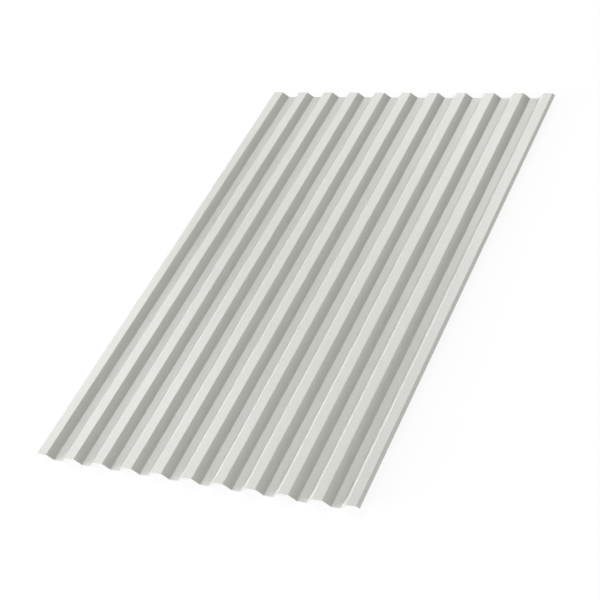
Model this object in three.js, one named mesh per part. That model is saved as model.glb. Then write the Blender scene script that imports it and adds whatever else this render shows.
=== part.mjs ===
// A profiled steel sheet for roofs, walls and fences, rolled from one flat strip.
//
// X runs across the ribs, Y along them and Z up. The sheet lies on its valleys, and the
// origin is under the middle of its width and length, level with the undersides of the
// valleys. Millimetres.

import * as THREE from 'three';

// The section, measured on the middle of the strip's thickness. Widths of flats run
// between the sharp corners that two neighbouring faces would meet in.
const ribPitch = 100;
const ribCount = 11;
const crestWidth = 33;
const valleyWidth = 29;

// Past both outer ribs the strip goes on down in a short lip. The left-hand rib and lip
// cover the right-hand ones of the sheet beside, so the right-hand rib has its outer side
// drawn in and its lip is shorter. Reaches are measured across, from the fold.
const coveringLipReach = 9;
const coveredLipReach = 6.8;
const coveredRibRelief = 1.6;

// The overall height, from the undersides of the valleys to the tops of the ribs.
const profileHeight = 21;

// The strip that the sheet is rolled from, and the length that it is cut to.
const stripThickness = 0.5;
const sheetLength = 1660;

// The radius on the hollow side of every fold, and the straight steps that round it.
const innerBendRadius = 3;
const stepsPerBend = 6;

// A pale grey stoved paint on both faces.
const coatColour = 0xdedfda;
const coatRoughness = 0.45;

// What follows from those sizes.
const halfStrip = stripThickness / 2;
const middleRadius = innerBendRadius + halfStrip;
const crestLevel = profileHeight - halfStrip;
const valleyLevel = halfStrip;
const webRun = (ribPitch - crestWidth - valleyWidth) / 2;
const webAngle = Math.atan2(crestLevel - valleyLevel, webRun);
const bendSetback = middleRadius * Math.tan(webAngle / 2);
const ribSpan = (ribCount - 1) * ribPitch;

// The sharp corners of the two outer folds, from the middle rib, and the shift that puts
// the origin midway between the lips.
const leftFold = -(ribSpan + crestWidth) / 2;
const rightFold = (ribSpan + crestWidth) / 2 - coveredRibRelief;
const middleRibX = -(leftFold - coveringLipReach + rightFold + coveredLipReach) / 2;

// One fold, as an arc that the upper and the lower face share the centre of. At a crest
// the centre is under the sheet, so the upper face has the larger radius. The angles are
// those of the way from left to right.
function crestFold(x, startAngle, endAngle) {
  return {
    x,
    z: crestLevel - middleRadius,
    upperRadius: middleRadius + halfStrip,
    lowerRadius: middleRadius - halfStrip,
    startAngle,
    endAngle,
    clockwise: true,
  };
}

function valleyFold(x, startAngle, endAngle) {
  return {
    x,
    z: valleyLevel + middleRadius,
    upperRadius: middleRadius - halfStrip,
    lowerRadius: middleRadius + halfStrip,
    startAngle,
    endAngle,
    clockwise: false,
  };
}

// A rib climbs into its crest on the left and leaves it on the right, where relief draws
// it in.
function ribFolds(middle, relief) {
  const reach = crestWidth / 2 - bendSetback;
  const up = Math.PI / 2;
  return [
    crestFold(middle - reach, up + webAngle, up),
    crestFold(middle + reach - relief, up, up - webAngle),
  ];
}

// A valley takes the falling web on its left and starts the climbing one on its right.
function valleyFolds(middle) {
  const reach = valleyWidth / 2 - bendSetback;
  const down = -Math.PI / 2;
  return [
    valleyFold(middle - reach, down - webAngle, down),
    valleyFold(middle + reach, down, down + webAngle),
  ];
}

// Every fold of the section, from left to right.
function sheetFolds() {
  const folds = [];
  for (let rib = 0; rib < ribCount; rib += 1) {
    const middle = middleRibX + rib * ribPitch - ribSpan / 2;
    const isCovered = rib === ribCount - 1;
    folds.push(...ribFolds(middle, isCovered ? coveredRibRelief : 0));
    if (!isCovered) {
      folds.push(...valleyFolds(middle + ribPitch / 2));
    }
  }
  return folds;
}

// The two corners of a long edge. A lip goes down the slope of a web from the outer fold
// and is sheared off square to its own face. side is -1 on the left and 1 on the right.
function lipCorners(side, fold, reach) {
  const tip = new THREE.Vector2(
    middleRibX + fold + side * reach,
    crestLevel - reach * Math.tan(webAngle),
  );
  const outward = new THREE.Vector2(side * Math.sin(webAngle), Math.cos(webAngle));
  return {
    upper: tip.clone().addScaledVector(outward, halfStrip),
    lower: tip.clone().addScaledVector(outward, -halfStrip),
  };
}

// The closed outline of the section: along the lower face from left to right, up the right
// lip's edge, back along the upper face, and down the left lip's edge. Each arc is joined
// to the one before it by a straight line, which is a crest, a web or a valley.
function sectionOutline() {
  const folds = sheetFolds();
  const left = lipCorners(-1, leftFold, coveringLipReach);
  const right = lipCorners(1, rightFold, coveredLipReach);
  const outline = new THREE.Shape();
  outline.moveTo(left.lower.x, left.lower.y);
  for (const fold of folds) {
    const { x, z, lowerRadius, startAngle, endAngle, clockwise } = fold;
    outline.absarc(x, z, lowerRadius, startAngle, endAngle, clockwise);
  }
  outline.lineTo(right.lower.x, right.lower.y);
  outline.lineTo(right.upper.x, right.upper.y);
  for (const fold of folds.reverse()) {
    const { x, z, upperRadius, startAngle, endAngle, clockwise } = fold;
    outline.absarc(x, z, upperRadius, endAngle, startAngle, !clockwise);
  }
  outline.lineTo(left.upper.x, left.upper.y);
  outline.closePath();
  return outline;
}

// The section is drawn in X and Y and extruded along Z. A quarter turn about X stands the
// section up and lays the ribs along Y.
function profiledSheet() {
  const geometry = new THREE.ExtrudeGeometry(sectionOutline(), {
    depth: sheetLength,
    steps: 1,
    bevelEnabled: false,
    // an arc is given two straight steps for each of these
    curveSegments: stepsPerBend / 2,
  });
  const coat = new THREE.MeshStandardMaterial({
    color: coatColour,
    roughness: coatRoughness,
    metalness: 0,
  });
  const mesh = new THREE.Mesh(geometry, coat);
  mesh.name = 'profiled_sheet';
  mesh.rotation.x = Math.PI / 2;
  mesh.position.y = sheetLength / 2;
  return mesh;
}

const part = new THREE.Group();
part.add(profiledSheet());

export default part;
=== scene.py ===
# %% [markdown]
# # A profiled steel sheet
#
# The object is one sheet of colour-coated steel for roofs, walls and fences. A flat strip went through
# a long row of rollers, which folded it into eleven flat-topped ribs with ten valleys between them, and
# a shear cut it to length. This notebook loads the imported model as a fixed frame, draws the same sheet
# again as one smooth surface with a finish on each of its faces, and lights it in a plain studio.

import math

import bpy
import numpy as np
from mathutils import Matrix, Vector


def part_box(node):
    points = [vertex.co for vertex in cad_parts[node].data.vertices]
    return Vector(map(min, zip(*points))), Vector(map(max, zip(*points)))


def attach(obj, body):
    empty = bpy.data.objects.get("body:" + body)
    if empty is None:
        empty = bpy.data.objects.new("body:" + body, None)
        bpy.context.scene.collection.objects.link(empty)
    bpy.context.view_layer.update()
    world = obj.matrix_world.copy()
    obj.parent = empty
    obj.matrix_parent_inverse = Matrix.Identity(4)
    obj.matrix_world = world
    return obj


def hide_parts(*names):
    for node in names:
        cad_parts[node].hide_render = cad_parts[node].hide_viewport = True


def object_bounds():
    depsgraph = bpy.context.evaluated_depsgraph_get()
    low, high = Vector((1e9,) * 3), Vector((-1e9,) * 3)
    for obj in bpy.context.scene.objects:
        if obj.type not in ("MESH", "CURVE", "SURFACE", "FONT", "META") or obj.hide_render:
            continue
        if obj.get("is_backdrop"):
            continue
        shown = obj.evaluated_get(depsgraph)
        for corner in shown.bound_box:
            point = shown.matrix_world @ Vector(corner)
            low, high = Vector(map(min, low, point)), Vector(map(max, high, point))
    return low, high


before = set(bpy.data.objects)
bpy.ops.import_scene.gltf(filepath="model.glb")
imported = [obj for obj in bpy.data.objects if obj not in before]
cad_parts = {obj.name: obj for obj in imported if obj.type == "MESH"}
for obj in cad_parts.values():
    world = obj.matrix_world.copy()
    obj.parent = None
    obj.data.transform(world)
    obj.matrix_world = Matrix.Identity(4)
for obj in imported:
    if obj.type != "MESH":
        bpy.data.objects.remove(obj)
cad_low, cad_high = (list(corner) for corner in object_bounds())
node_low, node_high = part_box("profiled_sheet")

# %% [markdown]
# ## The strip and its folds
#
# The sheet could be drawn by hand as a zigzag with rounded corners. It is simpler to think as the
# rollers do. Seen from its end, the strip is a path with a heading: level on a crest or in a valley,
# climbing or falling on a web, and turning evenly from one to the next round a fold. So the section is
# a short list of stretches, each with a length and the heading that it starts and ends with, and the
# path is their sum. The sizes are in metres, and the overall ones come from the frame.

# %% Sizes of the section
RIB_COUNT = 11
RIB_PITCH = 0.100
CREST_WIDTH = 0.033
VALLEY_WIDTH = 0.029
COVERING_LIP_REACH = 0.009
COVERED_RIB_RELIEF = 0.0016
STRIP_THICKNESS = 0.0005
INNER_BEND_RADIUS = 0.003

sheet_height = node_high[2] - node_low[2]
sheet_length = node_high[1] - node_low[1]
half_strip = STRIP_THICKNESS / 2
middle_radius = INNER_BEND_RADIUS + half_strip
web_run = (RIB_PITCH - CREST_WIDTH - VALLEY_WIDTH) / 2
web_rise = sheet_height - STRIP_THICKNESS
web_angle = math.atan2(web_rise, web_run)
bend_setback = middle_radius * math.tan(web_angle / 2)
middle_width = node_high[0] - node_low[0] - 2 * half_strip * math.sin(web_angle)
between_folds = (RIB_COUNT - 1) * RIB_PITCH + CREST_WIDTH - COVERED_RIB_RELIEF
covered_lip_reach = middle_width - between_folds - COVERING_LIP_REACH
print(f"webs stand at {math.degrees(web_angle):.1f} degrees")
print(f"the left lip reaches {COVERING_LIP_REACH * 1000:.1f} mm")
print(f"the right lip reaches {covered_lip_reach * 1000:.1f} mm")

# %% The stretches of the section, from the left lip to the right one
FLAT_STEPS = 8
BEND_STEPS = 10


def stretches():
    """Lengths, start headings, end headings and step counts of every stretch, flats and folds by turns.

    A flat's length is the distance between its two sharp corners less a setback at each fold. A fold's
    length is its middle radius times the angle that it turns by.
    """
    covering_lip = (COVERING_LIP_REACH / math.cos(web_angle) - bend_setback, web_angle)
    covered_lip = (covered_lip_reach / math.cos(web_angle) - bend_setback, -web_angle)
    crest = (CREST_WIDTH - 2 * bend_setback, 0.0)
    covered_crest = (crest[0] - COVERED_RIB_RELIEF, 0.0)
    valley = (VALLEY_WIDTH - 2 * bend_setback, 0.0)
    web = web_run / math.cos(web_angle) - 2 * bend_setback
    between = [crest, (web, -web_angle), valley, (web, web_angle)] * (RIB_COUNT - 1)
    flats = np.array([covering_lip, *between, covered_crest, covered_lip])
    count = 2 * len(flats) - 1
    length = np.full(count, middle_radius * web_angle)
    length[::2] = flats[:, 0]
    start = np.repeat(flats[:, 1], 2)[:-1]
    end = np.repeat(flats[:, 1], 2)[1:]
    steps = np.where(np.arange(count) % 2 == 0, FLAT_STEPS, BEND_STEPS)
    return length, start, end, steps


length, start, end, steps = stretches()
print(len(length), "stretches, and the flat strip was", round(length.sum() * 1000, 1), "mm wide")


# %% [markdown]
# Each stretch is cut into steps, closer together near the folds, where the light turns. A step whose
# heading turns evenly is a short arc, and its chord is known exactly, so adding the chords up gives
# points on the true path and not near it.

# %% The section as points, normals and distances
def section_path():
    """Points, upward normals and developed distances along the middle of the strip.

    A station lies at (1 - cos(pi f)) / 2 of its flat and at f of its fold, for f from 0 to 1. A step
    of length d that turns by a has the chord d sin(a / 2) / (a / 2) along its middle heading. The
    path is the running sum of the chords, centred across, with its valleys' undersides at height 0.
    """
    which = np.repeat(np.arange(len(length)), steps)
    first = np.cumsum(steps) - steps
    number = np.arange(steps.sum()) - first[which]
    flat = which % 2 == 0
    before, after = (
        np.where(flat, (1 - np.cos(np.pi * f)) / 2, f)
        for f in (number / steps[which], (number + 1) / steps[which])
    )
    turn = end[which] - start[which]
    distance = (after - before) * length[which]
    bend = (after - before) * turn
    middle = start[which] + (before + after) / 2 * turn
    chord = distance * np.sinc(bend / 2 / np.pi)
    run = np.concatenate([[0], np.cumsum(chord * np.cos(middle))])
    rise = np.concatenate([[0], np.cumsum(chord * np.sin(middle))])
    heading = np.concatenate([[start[0]], start[which] + after * turn])
    along_strip = np.concatenate([[0], np.cumsum(distance)])
    points = np.stack([run - run.max() / 2, rise - rise.min() + half_strip], axis=1)
    normals = np.stack([-np.sin(heading), np.cos(heading)], axis=1)
    return points, normals, along_strip


section, section_normals, developed = section_path()
print(len(section), "stations from x", round(section[0, 0], 4), "to", round(section[-1, 0], 4))

# %% [markdown]
# ## One closed surface
#
# The strip is half a millimetre thick, and all of it shows somewhere: the painted face from above, the
# backing coat from below and the bare cut at the ends. A Solidify modifier could thicken a single
# surface, but here both faces are easy to write down, as the same path pushed out along its normals by
# half the thickness each way. Two grids and the four narrow strips between their borders close the
# sheet.

# %% The painted sheet's surface
ROWS = 25


def two_faces():
    """Corners of both faces as an array of (face, row, station, xyz), lower face first.

    A corner is the path's point less or plus half the thickness times the path's normal.
    """
    side = np.array([-half_strip, half_strip])[:, None, None]
    corners = np.empty((2, ROWS, len(section), 3))
    corners[..., 0] = section[:, 0] + side * section_normals[:, 0]
    corners[..., 1] = np.linspace(node_low[1], node_high[1], ROWS)[:, None]
    corners[..., 2] = section[:, 1] + side * section_normals[:, 1]
    return corners


def quads(a, b, c, d):
    """Faces from four arrays of corner numbers, in the order seen from outside."""
    return np.stack([a, b, c, d], axis=-1).reshape(-1, 4)


def closed_faces(number):
    """Every face of the closed sheet, and its material's number: 0 above, 1 below and 2 on the cuts."""
    lower, upper = number
    above = quads(upper[:-1, :-1], upper[:-1, 1:], upper[1:, 1:], upper[1:, :-1])
    below = quads(lower[:-1, :-1], lower[1:, :-1], lower[1:, 1:], lower[:-1, 1:])
    cuts = [
        quads(lower[0, :-1], lower[0, 1:], upper[0, 1:], upper[0, :-1]),
        quads(lower[-1, 1:], lower[-1, :-1], upper[-1, :-1], upper[-1, 1:]),
        quads(lower[1:, 0], lower[:-1, 0], upper[:-1, 0], upper[1:, 0]),
        quads(lower[:-1, -1], lower[1:, -1], upper[1:, -1], upper[:-1, -1]),
    ]
    faces = np.concatenate([above, below, *cuts])
    kinds = np.repeat([0, 1, 2], [len(above), len(below), sum(map(len, cuts))])
    return faces, kinds


corners = two_faces()
faces, kinds = closed_faces(np.arange(corners[..., 0].size).reshape(corners.shape[:3]))
print(f"{corners[..., 0].size} corners and {len(faces)} faces, or {2 * len(faces)} triangles")

# %% [markdown]
# A finish that was put on while the strip was flat has to follow the strip. So every corner keeps its
# place on the flat strip as a UV in metres, how sharply the strip turns there, and how deep in the
# thickness it is. The painter's nodes read these and never need to know about ribs.

# %% Put it into a mesh
SHARP_ANGLE = math.radians(40)


def turning():
    """1 in the middle of a fold that bulges upwards, -1 in one that is hollow upwards, 0 on the flats.

    It is the change of heading for each metre of strip, as a share of a full fold's.
    """
    heading = np.arctan2(-section_normals[:, 0], section_normals[:, 1])
    return -np.gradient(heading, developed) * middle_radius


def sheet_mesh():
    """The mesh of the closed sheet, with its UV map, fold and depth attributes."""
    mesh = bpy.data.meshes.new("profiled_sheet_coated")
    mesh.vertices.add(corners[..., 0].size)
    mesh.vertices.foreach_set("co", corners.astype(np.float32).ravel())
    mesh.loops.add(faces.size)
    mesh.loops.foreach_set("vertex_index", faces.astype(np.int32).ravel())
    mesh.polygons.add(len(faces))
    mesh.polygons.foreach_set("loop_start", np.arange(0, faces.size, faces.shape[1], dtype=np.int32))
    mesh.polygons.foreach_set("material_index", kinds.astype(np.int32))
    mesh.update(calc_edges=True)

    shape = corners.shape[:3]
    flat_place = np.empty((*shape, 2))
    flat_place[..., 0] = developed
    flat_place[..., 1] = np.linspace(0, sheet_length, ROWS)[:, None]
    uv = mesh.uv_layers.new(name="strip")
    uv.uv.foreach_set("vector", flat_place.reshape(-1, 2)[faces.ravel()].astype(np.float32).ravel())

    bulge = np.array([-1.0, 1.0])[:, None, None] * turning()
    fold = mesh.attributes.new("fold", "FLOAT", "POINT")
    fold.data.foreach_set("value", np.broadcast_to(bulge, shape).astype(np.float32).ravel())
    level = np.array([0.0, 1.0])[:, None, None]
    depth = mesh.attributes.new("depth", "FLOAT", "POINT")
    depth.data.foreach_set("value", np.broadcast_to(level, shape).astype(np.float32).ravel())
    mesh.set_sharp_from_angle(angle=SHARP_ANGLE)
    return mesh


sheet = bpy.data.objects.new("profiled_sheet_coated", sheet_mesh())
bpy.context.collection.objects.link(sheet)
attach(sheet, "root")
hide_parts("profiled_sheet")
print("sheet box", [round(v, 5) for v in sheet.bound_box[0]], [round(v, 5) for v in sheet.bound_box[6]])

# %% [markdown]
# ## Coil coating
#
# Both faces were painted on a coil line: the strip ran flat under rollers of wet paint and through an
# oven. That leaves a few faint things, which are built once here as a node group and used by both
# paints. The paint's shade drifts slowly, in patches longer than they are wide. The rollers leave weak
# streaks lengthways. The skin has orange peel, shallow dimples three or four millimetres across, and
# each dimple also carries painted shade: its colour is a little darker in its middle than on its rim.
# Last, the rollers that fold the strip press hardest on the outside of a fold and polish it, so a fold
# that bulges outwards is glossier than the flats beside it. A picture could hold all this, but noise on
# the strip's own map stays sharp close up and runs round the folds as the real paint does.

# %% Helpers for nodes
def add(nodes, kind, **settings):
    """A new node with its plain settings."""
    node = nodes.new(kind)
    for name, value in settings.items():
        setattr(node, name, value)
    return node


def ranged(tree, value, low, high):
    """value, from 0 to 1, moved to between low and high."""
    node = add(tree.nodes, "ShaderNodeMapRange", clamp=False)
    node.inputs["To Min"].default_value = low
    node.inputs["To Max"].default_value = high
    tree.links.new(value, node.inputs["Value"])
    return node.outputs["Result"]


def math_node(tree, operation, *values):
    """The result of a Math node on numbers or sockets."""
    node = add(tree.nodes, "ShaderNodeMath", operation=operation)
    for socket, value in zip(node.inputs, values):
        if isinstance(value, bpy.types.NodeSocket):
            tree.links.new(value, socket)
        else:
            socket.default_value = value
    return node.outputs["Value"]


# %% Noise on the flat strip
# waves of each noise for each metre of strip, across and along, and how many finer noises lie on it
SLOW_DRIFT = {"waves": (9, 2.5), "detail": 3}
ROLLER_STREAKS = {"waves": (140, 1.5), "detail": 2}
ORANGE_PEEL = {"waves": (300, 260), "detail": 1.5}


def strip_noise(tree, name, waves, detail):
    """Noise from 0 to 1 on the flat strip, with so many waves for each metre across and along.

    It is plain noise at the place (u, v) on the strip, in metres, times waves.
    """
    place = add(tree.nodes, "ShaderNodeUVMap", uv_map="strip")
    stretch = add(tree.nodes, "ShaderNodeMapping", label=name)
    stretch.inputs["Scale"].default_value = (*waves, 1)
    noise = add(tree.nodes, "ShaderNodeTexNoise", noise_dimensions="2D", label=name)
    noise.inputs["Scale"].default_value = 1
    noise.inputs["Detail"].default_value = detail
    tree.links.new(place.outputs["UV"], stretch.inputs["Vector"])
    tree.links.new(stretch.outputs["Vector"], noise.inputs["Vector"])
    return noise.outputs["Fac"]


dimple_width = 1 / ORANGE_PEEL["waves"][0]
print(f"a dimple of the orange peel is about {dimple_width * 1000:.1f} mm wide")

# %% The coil coating node group
# how much of the drift is the streaks', and what brings a noise's usual reach up to about 1
STREAK_SHARE = 0.4
NOISE_GAIN = 4
FINISH = ("Roughness", "Drift", "Gloss Drift", "Painted Dimple Shade", "Fold Gloss")


def coil_coating():
    """A roller-laid paint: its colour, roughness and height, from its colour and the FINISH values.

    A wander is NOISE_GAIN times how far a noise is from its middle. The colour is scaled by 1 plus
    Drift times the wander of shade and streaks, plus the dimple value times that of the dimples,
    which is painted shade, darker in each dimple's middle than on its rim. The roughness is
    Roughness plus Gloss Drift times the first wander, less Fold Gloss where a fold bulges outwards.
    """
    tree = bpy.data.node_groups.new("coil_coating", "ShaderNodeTree")
    face = tree.interface
    face.new_socket("Colour", in_out="INPUT", socket_type="NodeSocketColor")
    for name in FINISH:
        face.new_socket(name, in_out="INPUT", socket_type="NodeSocketFloat")
    face.new_socket("Colour", in_out="OUTPUT", socket_type="NodeSocketColor")
    face.new_socket("Roughness", in_out="OUTPUT", socket_type="NodeSocketFloat")
    face.new_socket("Height", in_out="OUTPUT", socket_type="NodeSocketFloat")
    given = add(tree.nodes, "NodeGroupInput").outputs
    result = add(tree.nodes, "NodeGroupOutput").inputs

    shade = strip_noise(tree, "slow drift of shade", **SLOW_DRIFT)
    streak = strip_noise(tree, "streaks of the rollers", **ROLLER_STREAKS)
    peel = strip_noise(tree, "orange peel", **ORANGE_PEEL)
    rest = math_node(tree, "MULTIPLY", shade, 1 - STREAK_SHARE)
    both = math_node(tree, "MULTIPLY_ADD", streak, STREAK_SHARE, rest)
    drift, dimple = (ranged(tree, noise, -NOISE_GAIN / 2, NOISE_GAIN / 2) for noise in (both, peel))

    drifted = math_node(tree, "MULTIPLY_ADD", drift, given["Drift"], 1)
    # painted shade of the orange peel: the colour is darker in each dimple's middle than on its rim
    gain = math_node(tree, "MULTIPLY_ADD", dimple, given["Painted Dimple Shade"], drifted)
    tinted = add(tree.nodes, "ShaderNodeVectorMath", operation="SCALE")
    tree.links.new(given["Colour"], tinted.inputs[0])
    tree.links.new(gain, tinted.inputs["Scale"])
    tree.links.new(tinted.outputs["Vector"], result["Colour"])

    duller = math_node(tree, "MULTIPLY_ADD", drift, given["Gloss Drift"], given["Roughness"])
    fold = add(tree.nodes, "ShaderNodeAttribute", attribute_name="fold")
    bulge = math_node(tree, "MAXIMUM", fold.outputs["Fac"], 0)
    polish = math_node(tree, "MULTIPLY", bulge, given["Fold Gloss"])
    tree.links.new(math_node(tree, "SUBTRACT", duller, polish), result["Roughness"])
    tree.links.new(peel, result["Height"])
    return tree


coating = coil_coating()
print("node group", coating.name, "with", len(coating.nodes), "nodes")

# %% [markdown]
# ## The two paints
#
# The face that shows is a pale grey topcoat, a satin polyester about 25 microns thick. The other face
# only has a backing coat: thinner, cooler in colour and duller. Two full sets of nodes would do, but a
# change would then have to be made twice. So both are the same node group with their own values, and
# only the shader itself stays in each material.

# %% Topcoat and backing coat
TOPCOAT = (0.73, 0.74, 0.69)
# each finish's dimple value paints shade into the colour of the orange peel's dimple middles
TOPCOAT_FINISH = {
    "Roughness": 0.30,
    "Drift": 0.008,
    "Gloss Drift": 0.03,
    "Painted Dimple Shade": 0.08,
    "Fold Gloss": 0.18,
}
TOPCOAT_PEEL_HEIGHT = 0.00015
BACKING = (0.50, 0.51, 0.50)
BACKING_FINISH = {
    "Roughness": 0.55,
    "Drift": 0.020,
    "Gloss Drift": 0.03,
    "Painted Dimple Shade": 0.06,
    "Fold Gloss": 0.05,
}
BACKING_PEEL_HEIGHT = 0.00005
PAINT_IOR = 1.7


def new_material(name):
    """A material, its node tree and the Principled shader that it starts with."""
    material = bpy.data.materials.new(name)
    material.use_nodes = True
    tree = material.node_tree
    return material, tree, tree.nodes["Principled BSDF"]


def roughen(tree, shader, height, reach):
    """Bumps the shader's surface by reach metres times height, which runs from 0 to 1."""
    bump = add(tree.nodes, "ShaderNodeBump")
    bump.inputs["Strength"].default_value = 1
    bump.inputs["Distance"].default_value = reach
    tree.links.new(height, bump.inputs["Height"])
    tree.links.new(bump.outputs["Normal"], shader.inputs["Normal"])


def coated_material(name, colour, finish, peel_height):
    """A painted face: the coil coating in a colour, with a value for each name in FINISH."""
    material, tree, shader = new_material(name)
    paint = add(tree.nodes, "ShaderNodeGroup", node_tree=coating)
    paint.inputs["Colour"].default_value = (*colour, 1)
    for socket in FINISH:
        paint.inputs[socket].default_value = finish[socket]
    tree.links.new(paint.outputs["Colour"], shader.inputs["Base Color"])
    tree.links.new(paint.outputs["Roughness"], shader.inputs["Roughness"])
    roughen(tree, shader, paint.outputs["Height"], peel_height)
    shader.inputs["IOR"].default_value = PAINT_IOR
    return material


topcoat = coated_material("topcoat", TOPCOAT, TOPCOAT_FINISH, TOPCOAT_PEEL_HEIGHT)
backing = coated_material("backing_coat", BACKING, BACKING_FINISH, BACKING_PEEL_HEIGHT)
sheet.data.materials.append(topcoat)
sheet.data.materials.append(backing)
print("materials", topcoat.name, backing.name)

# %% [markdown]
# ## The cut edge
#
# The shear leaves the section bare. Through the half millimetre lie the backing coat, a bright skin of
# zinc, the steel, zinc again and the topcoat. They could be five narrow strips of faces, but the depth
# attribute already runs from 0 on the lower face to 1 on the upper one, so one colour ramp over it
# draws them all. Fine noise gives the torn grain of the steel.

# %% Cut steel
ZINC = (0.62, 0.63, 0.64)
STEEL = (0.40, 0.40, 0.40)
LAYERS = (
    # the depth where a layer starts, its colour, and 1 where it is metal
    (0.00, BACKING, 0),
    (0.03, ZINC, 1),
    (0.07, STEEL, 1),
    (0.89, ZINC, 1),
    (0.94, TOPCOAT, 0),
)
TORN_WAVES = 4000
TORN_ROUGHNESS = (0.4, 0.6)
TORN_HEIGHT = 0.00001


def ramp(tree, value, stops):
    """A stepped colour ramp over value, from (place, colour) stops."""
    node = add(tree.nodes, "ShaderNodeValToRGB")
    node.color_ramp.interpolation = "CONSTANT"
    elements = node.color_ramp.elements
    while len(elements) < len(stops):
        elements.new(1)
    for element, (place, colour) in zip(elements, stops):
        element.position = place
        element.color = colour
    tree.links.new(value, node.inputs["Fac"])
    return node.outputs["Color"]


def cut_material():
    """The bare edge: the colours of LAYERS by depth, with the steel's grain in its roughness and bump."""
    material, tree, shader = new_material("cut_edge")
    depth = add(tree.nodes, "ShaderNodeAttribute", attribute_name="depth").outputs["Fac"]
    colour = ramp(tree, depth, [(place, (*tone, 1)) for place, tone, _ in LAYERS])
    bare = ramp(tree, depth, [(place, (metal, metal, metal, 1)) for place, _, metal in LAYERS])
    torn = add(tree.nodes, "ShaderNodeTexNoise", label="torn grain")
    torn.inputs["Scale"].default_value = TORN_WAVES
    where = add(tree.nodes, "ShaderNodeTexCoord")
    tree.links.new(where.outputs["Object"], torn.inputs["Vector"])
    tree.links.new(colour, shader.inputs["Base Color"])
    tree.links.new(bare, shader.inputs["Metallic"])
    tree.links.new(ranged(tree, torn.outputs["Fac"], *TORN_ROUGHNESS), shader.inputs["Roughness"])
    roughen(tree, shader, torn.outputs["Fac"], TORN_HEIGHT)
    return material


sheet.data.materials.append(cut_material())
print("sheet materials", [m.name for m in sheet.data.materials])

# %% [markdown]
# ## Floor and air
#
# The sheet lies on a plain pale floor. To the camera the floor should be as white as paper, but light
# must not be turned up for that, or the paint would clip. So the floor's material has two halves, and
# the kind of ray chooses between them. Light that falls on it and bounces meets plain pale matt. A ray
# that sees it directly, in a mirror or through glass meets a glow just short of white, with a thin matt
# over it that brings it up to white in the open. In the sheet's shadow the thin matt stays dark, so the
# shadow is still there. Much more than white would be wrong too, because a pixel on the outline
# averages sheet and floor, and a floor of twice white would eat the sheet's edge away. The floor ends
# well inside the ring of lamps, because past them it would be unlit and show as a grey band.

# %% The floor
FLOOR_HALF = 4.0
FLOOR_GAP = 0.0001
FLOOR_COLOUR = (0.92, 0.92, 0.92)
SEEN_COLOUR = (0.16, 0.16, 0.16)
FLOOR_GLOW = 0.905


def seen_directly(tree):
    """1 for camera, glossy and transmission rays, 0 for the rest."""
    path = add(tree.nodes, "ShaderNodeLightPath").outputs
    mirror = math_node(tree, "MAXIMUM", path["Is Glossy Ray"], path["Is Transmission Ray"])
    return math_node(tree, "MAXIMUM", path["Is Camera Ray"], mirror)


def floor_material():
    """Pale matt for the light, and for rays that see it directly a glow under a thin matt."""
    material, tree, shader = new_material("floor")
    tree.nodes.remove(shader)
    matt = add(tree.nodes, "ShaderNodeBsdfDiffuse")
    matt.inputs["Color"].default_value = (*FLOOR_COLOUR, 1)
    thin = add(tree.nodes, "ShaderNodeBsdfDiffuse")
    thin.inputs["Color"].default_value = (*SEEN_COLOUR, 1)
    glow = add(tree.nodes, "ShaderNodeEmission")
    glow.inputs["Strength"].default_value = FLOOR_GLOW
    seen = add(tree.nodes, "ShaderNodeAddShader")
    tree.links.new(thin.outputs["BSDF"], seen.inputs[0])
    tree.links.new(glow.outputs["Emission"], seen.inputs[1])
    either = add(tree.nodes, "ShaderNodeMixShader")
    tree.links.new(seen_directly(tree), either.inputs["Fac"])
    tree.links.new(matt.outputs["BSDF"], either.inputs[1])
    tree.links.new(seen.outputs["Shader"], either.inputs[2])
    tree.links.new(either.outputs["Shader"], tree.nodes["Material Output"].inputs["Surface"])
    return material


def floor_object():
    """One square under the valleys, a hair below them, because two faces in one plane flicker."""
    mesh = bpy.data.meshes.new("floor")
    edge = FLOOR_HALF
    level = cad_low[2] - FLOOR_GAP
    square = [(-edge, -edge, level), (edge, -edge, level), (edge, edge, level), (-edge, edge, level)]
    mesh.from_pydata(square, [], [(0, 1, 2, 3)])
    mesh.materials.append(floor_material())
    plane = bpy.data.objects.new("floor", mesh)
    bpy.context.collection.objects.link(plane)
    plane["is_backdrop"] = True
    return plane


floor = floor_object()
print("floor at", round(floor.data.vertices[0].co.z, 4), "and", 2 * FLOOR_HALF, "m wide")


# %% The air round it
def studio_air():
    """A plain world: white where it is seen directly, and no light of its own."""
    world = bpy.data.worlds.new("studio_air")
    world.use_nodes = True
    tree = world.node_tree
    background = tree.nodes["Background"]
    background.inputs["Color"].default_value = (1, 1, 1, 1)
    tree.links.new(seen_directly(tree), background.inputs["Strength"])
    return world


bpy.context.scene.world = studio_air()
print("world", bpy.context.scene.world.name)

# %% [markdown]
# ## Lamps
#
# A crest, a web and a valley are the same paint, so a folded sheet is read from its light alone. One
# lamp overhead would show almost nothing. Here softboxes hang all round, big so that their shadows are
# soft, and far away so that their light is even from end to end. A crest and a valley face the same
# way, and only low light tells them apart, because the ribs keep part of it from the valleys. So the
# strongest lamp stands low at the left. Those at the right are weaker and leave the falling webs dark,
# and a small one near the floor lights the right-hand lip and little else. The ones behind hang where
# the crests and their folds mirror them to the camera, which draws a bright line along each rib.

# %% Softboxes
LAMP_DISTANCE = 9.0
LAMPS = (
    # name, degrees round from the right, degrees up, metres of side and watts
    ("low left softbox", 210, 7, 3.2, 1110),
    ("low right softbox", 0, 8, 3.2, 145),
    ("floor-level lamp on the right", 0, 4, 0.8, 75),
    ("front right softbox", 330, 30, 3.2, 175),
    ("back softbox", 105, 35, 3.2, 60),
    ("lower back softbox", 120, 30, 3.2, 65),
    ("high back softbox", 120, 50, 3.2, 90),
    ("low back left softbox", 148, 20, 3.2, 150),
    ("high back left softbox", 150, 45, 3.2, 140),
)


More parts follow.
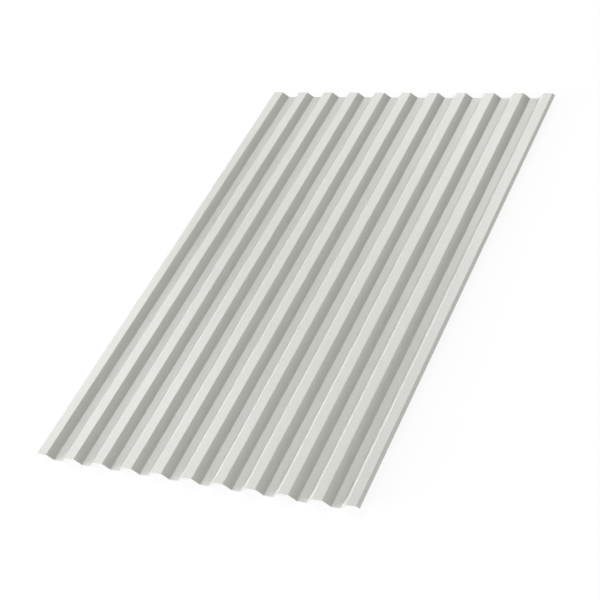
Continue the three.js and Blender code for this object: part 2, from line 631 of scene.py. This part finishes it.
def softbox(name, around, above, side, watts):
    """A square lamp on a sphere round the sheet, facing its middle.

    With angles a around and e above, it hangs at LAMP_DISTANCE times (cos a cos e, sin a cos e, sin e).
    """
    a, e = math.radians(around), math.radians(above)
    place = LAMP_DISTANCE * Vector((math.cos(a) * math.cos(e), math.sin(a) * math.cos(e), math.sin(e)))
    data = bpy.data.lights.new(name, "AREA")
    data.shape = "SQUARE"
    data.size = side
    data.energy = watts
    lamp = bpy.data.objects.new(name, data)
    lamp.location = place
    lamp.rotation_euler = (-place).to_track_quat("-Z", "Y").to_euler()
    bpy.context.collection.objects.link(lamp)


for lamp in LAMPS:
    softbox(*lamp)
print(len(LAMPS), "lamps,", LAMP_DISTANCE, "m away")

# %% [markdown]
# ## Camera
#
# The camera looks down on the sheet from the right of its near end, through a long lens from over four
# metres away, which keeps the ribs nearly parallel. It could be placed by a position and three angles,
# but an azimuth, an elevation and a distance round the point that it aims at are easier to change one
# at a time. Last it rolls about its own line of sight, which stands the sheet up in the frame.

# %% The studio camera
# angles in degrees, distances in metres, and the sensor and the lens in millimetres
CAMERA_AZIMUTH = 40.308
CAMERA_ELEVATION = 39.821
CAMERA_ROLL = -23.505
CAMERA_DISTANCE = 4.2406
CAMERA_AIM = (0.0246, -0.1317, 0.0)
SENSOR = 36.0
LENS = 85.885


def studio_camera():
    """A camera on a sphere about its aim, turned about its own line of sight by the roll.

    With azimuth a and elevation e, the way back to the camera is (sin a cos e, -cos a cos e, sin e),
    and level right is (cos a, sin a, 0).
    """
    a, e, roll = (math.radians(v) for v in (CAMERA_AZIMUTH, CAMERA_ELEVATION, CAMERA_ROLL))
    back = Vector((math.sin(a) * math.cos(e), -math.cos(a) * math.cos(e), math.sin(e)))
    level = Vector((math.cos(a), math.sin(a), 0))
    above = back.cross(level)
    right = level * math.cos(roll) + above * math.sin(roll)
    up = above * math.cos(roll) - level * math.sin(roll)
    data = bpy.data.cameras.new("camera")
    data.sensor_width = SENSOR
    data.lens = LENS
    camera = bpy.data.objects.new("camera", data)
    camera.matrix_world = Matrix((right, up, back)).transposed().to_4x4()
    camera.location = Vector(CAMERA_AIM) + back * CAMERA_DISTANCE
    bpy.context.collection.objects.link(camera)
    bpy.context.scene.camera = camera
    return camera


camera = studio_camera()
bpy.context.scene.view_settings.view_transform = "Standard"
print("camera at", [round(v, 3) for v in camera.location])

# %% [markdown]
# ## Sizes
#
# The drawn sheet must stay inside the imported one's box, because that is what it collides with.

# %% Print the CAD box
print("CAD box", cad_low, cad_high)
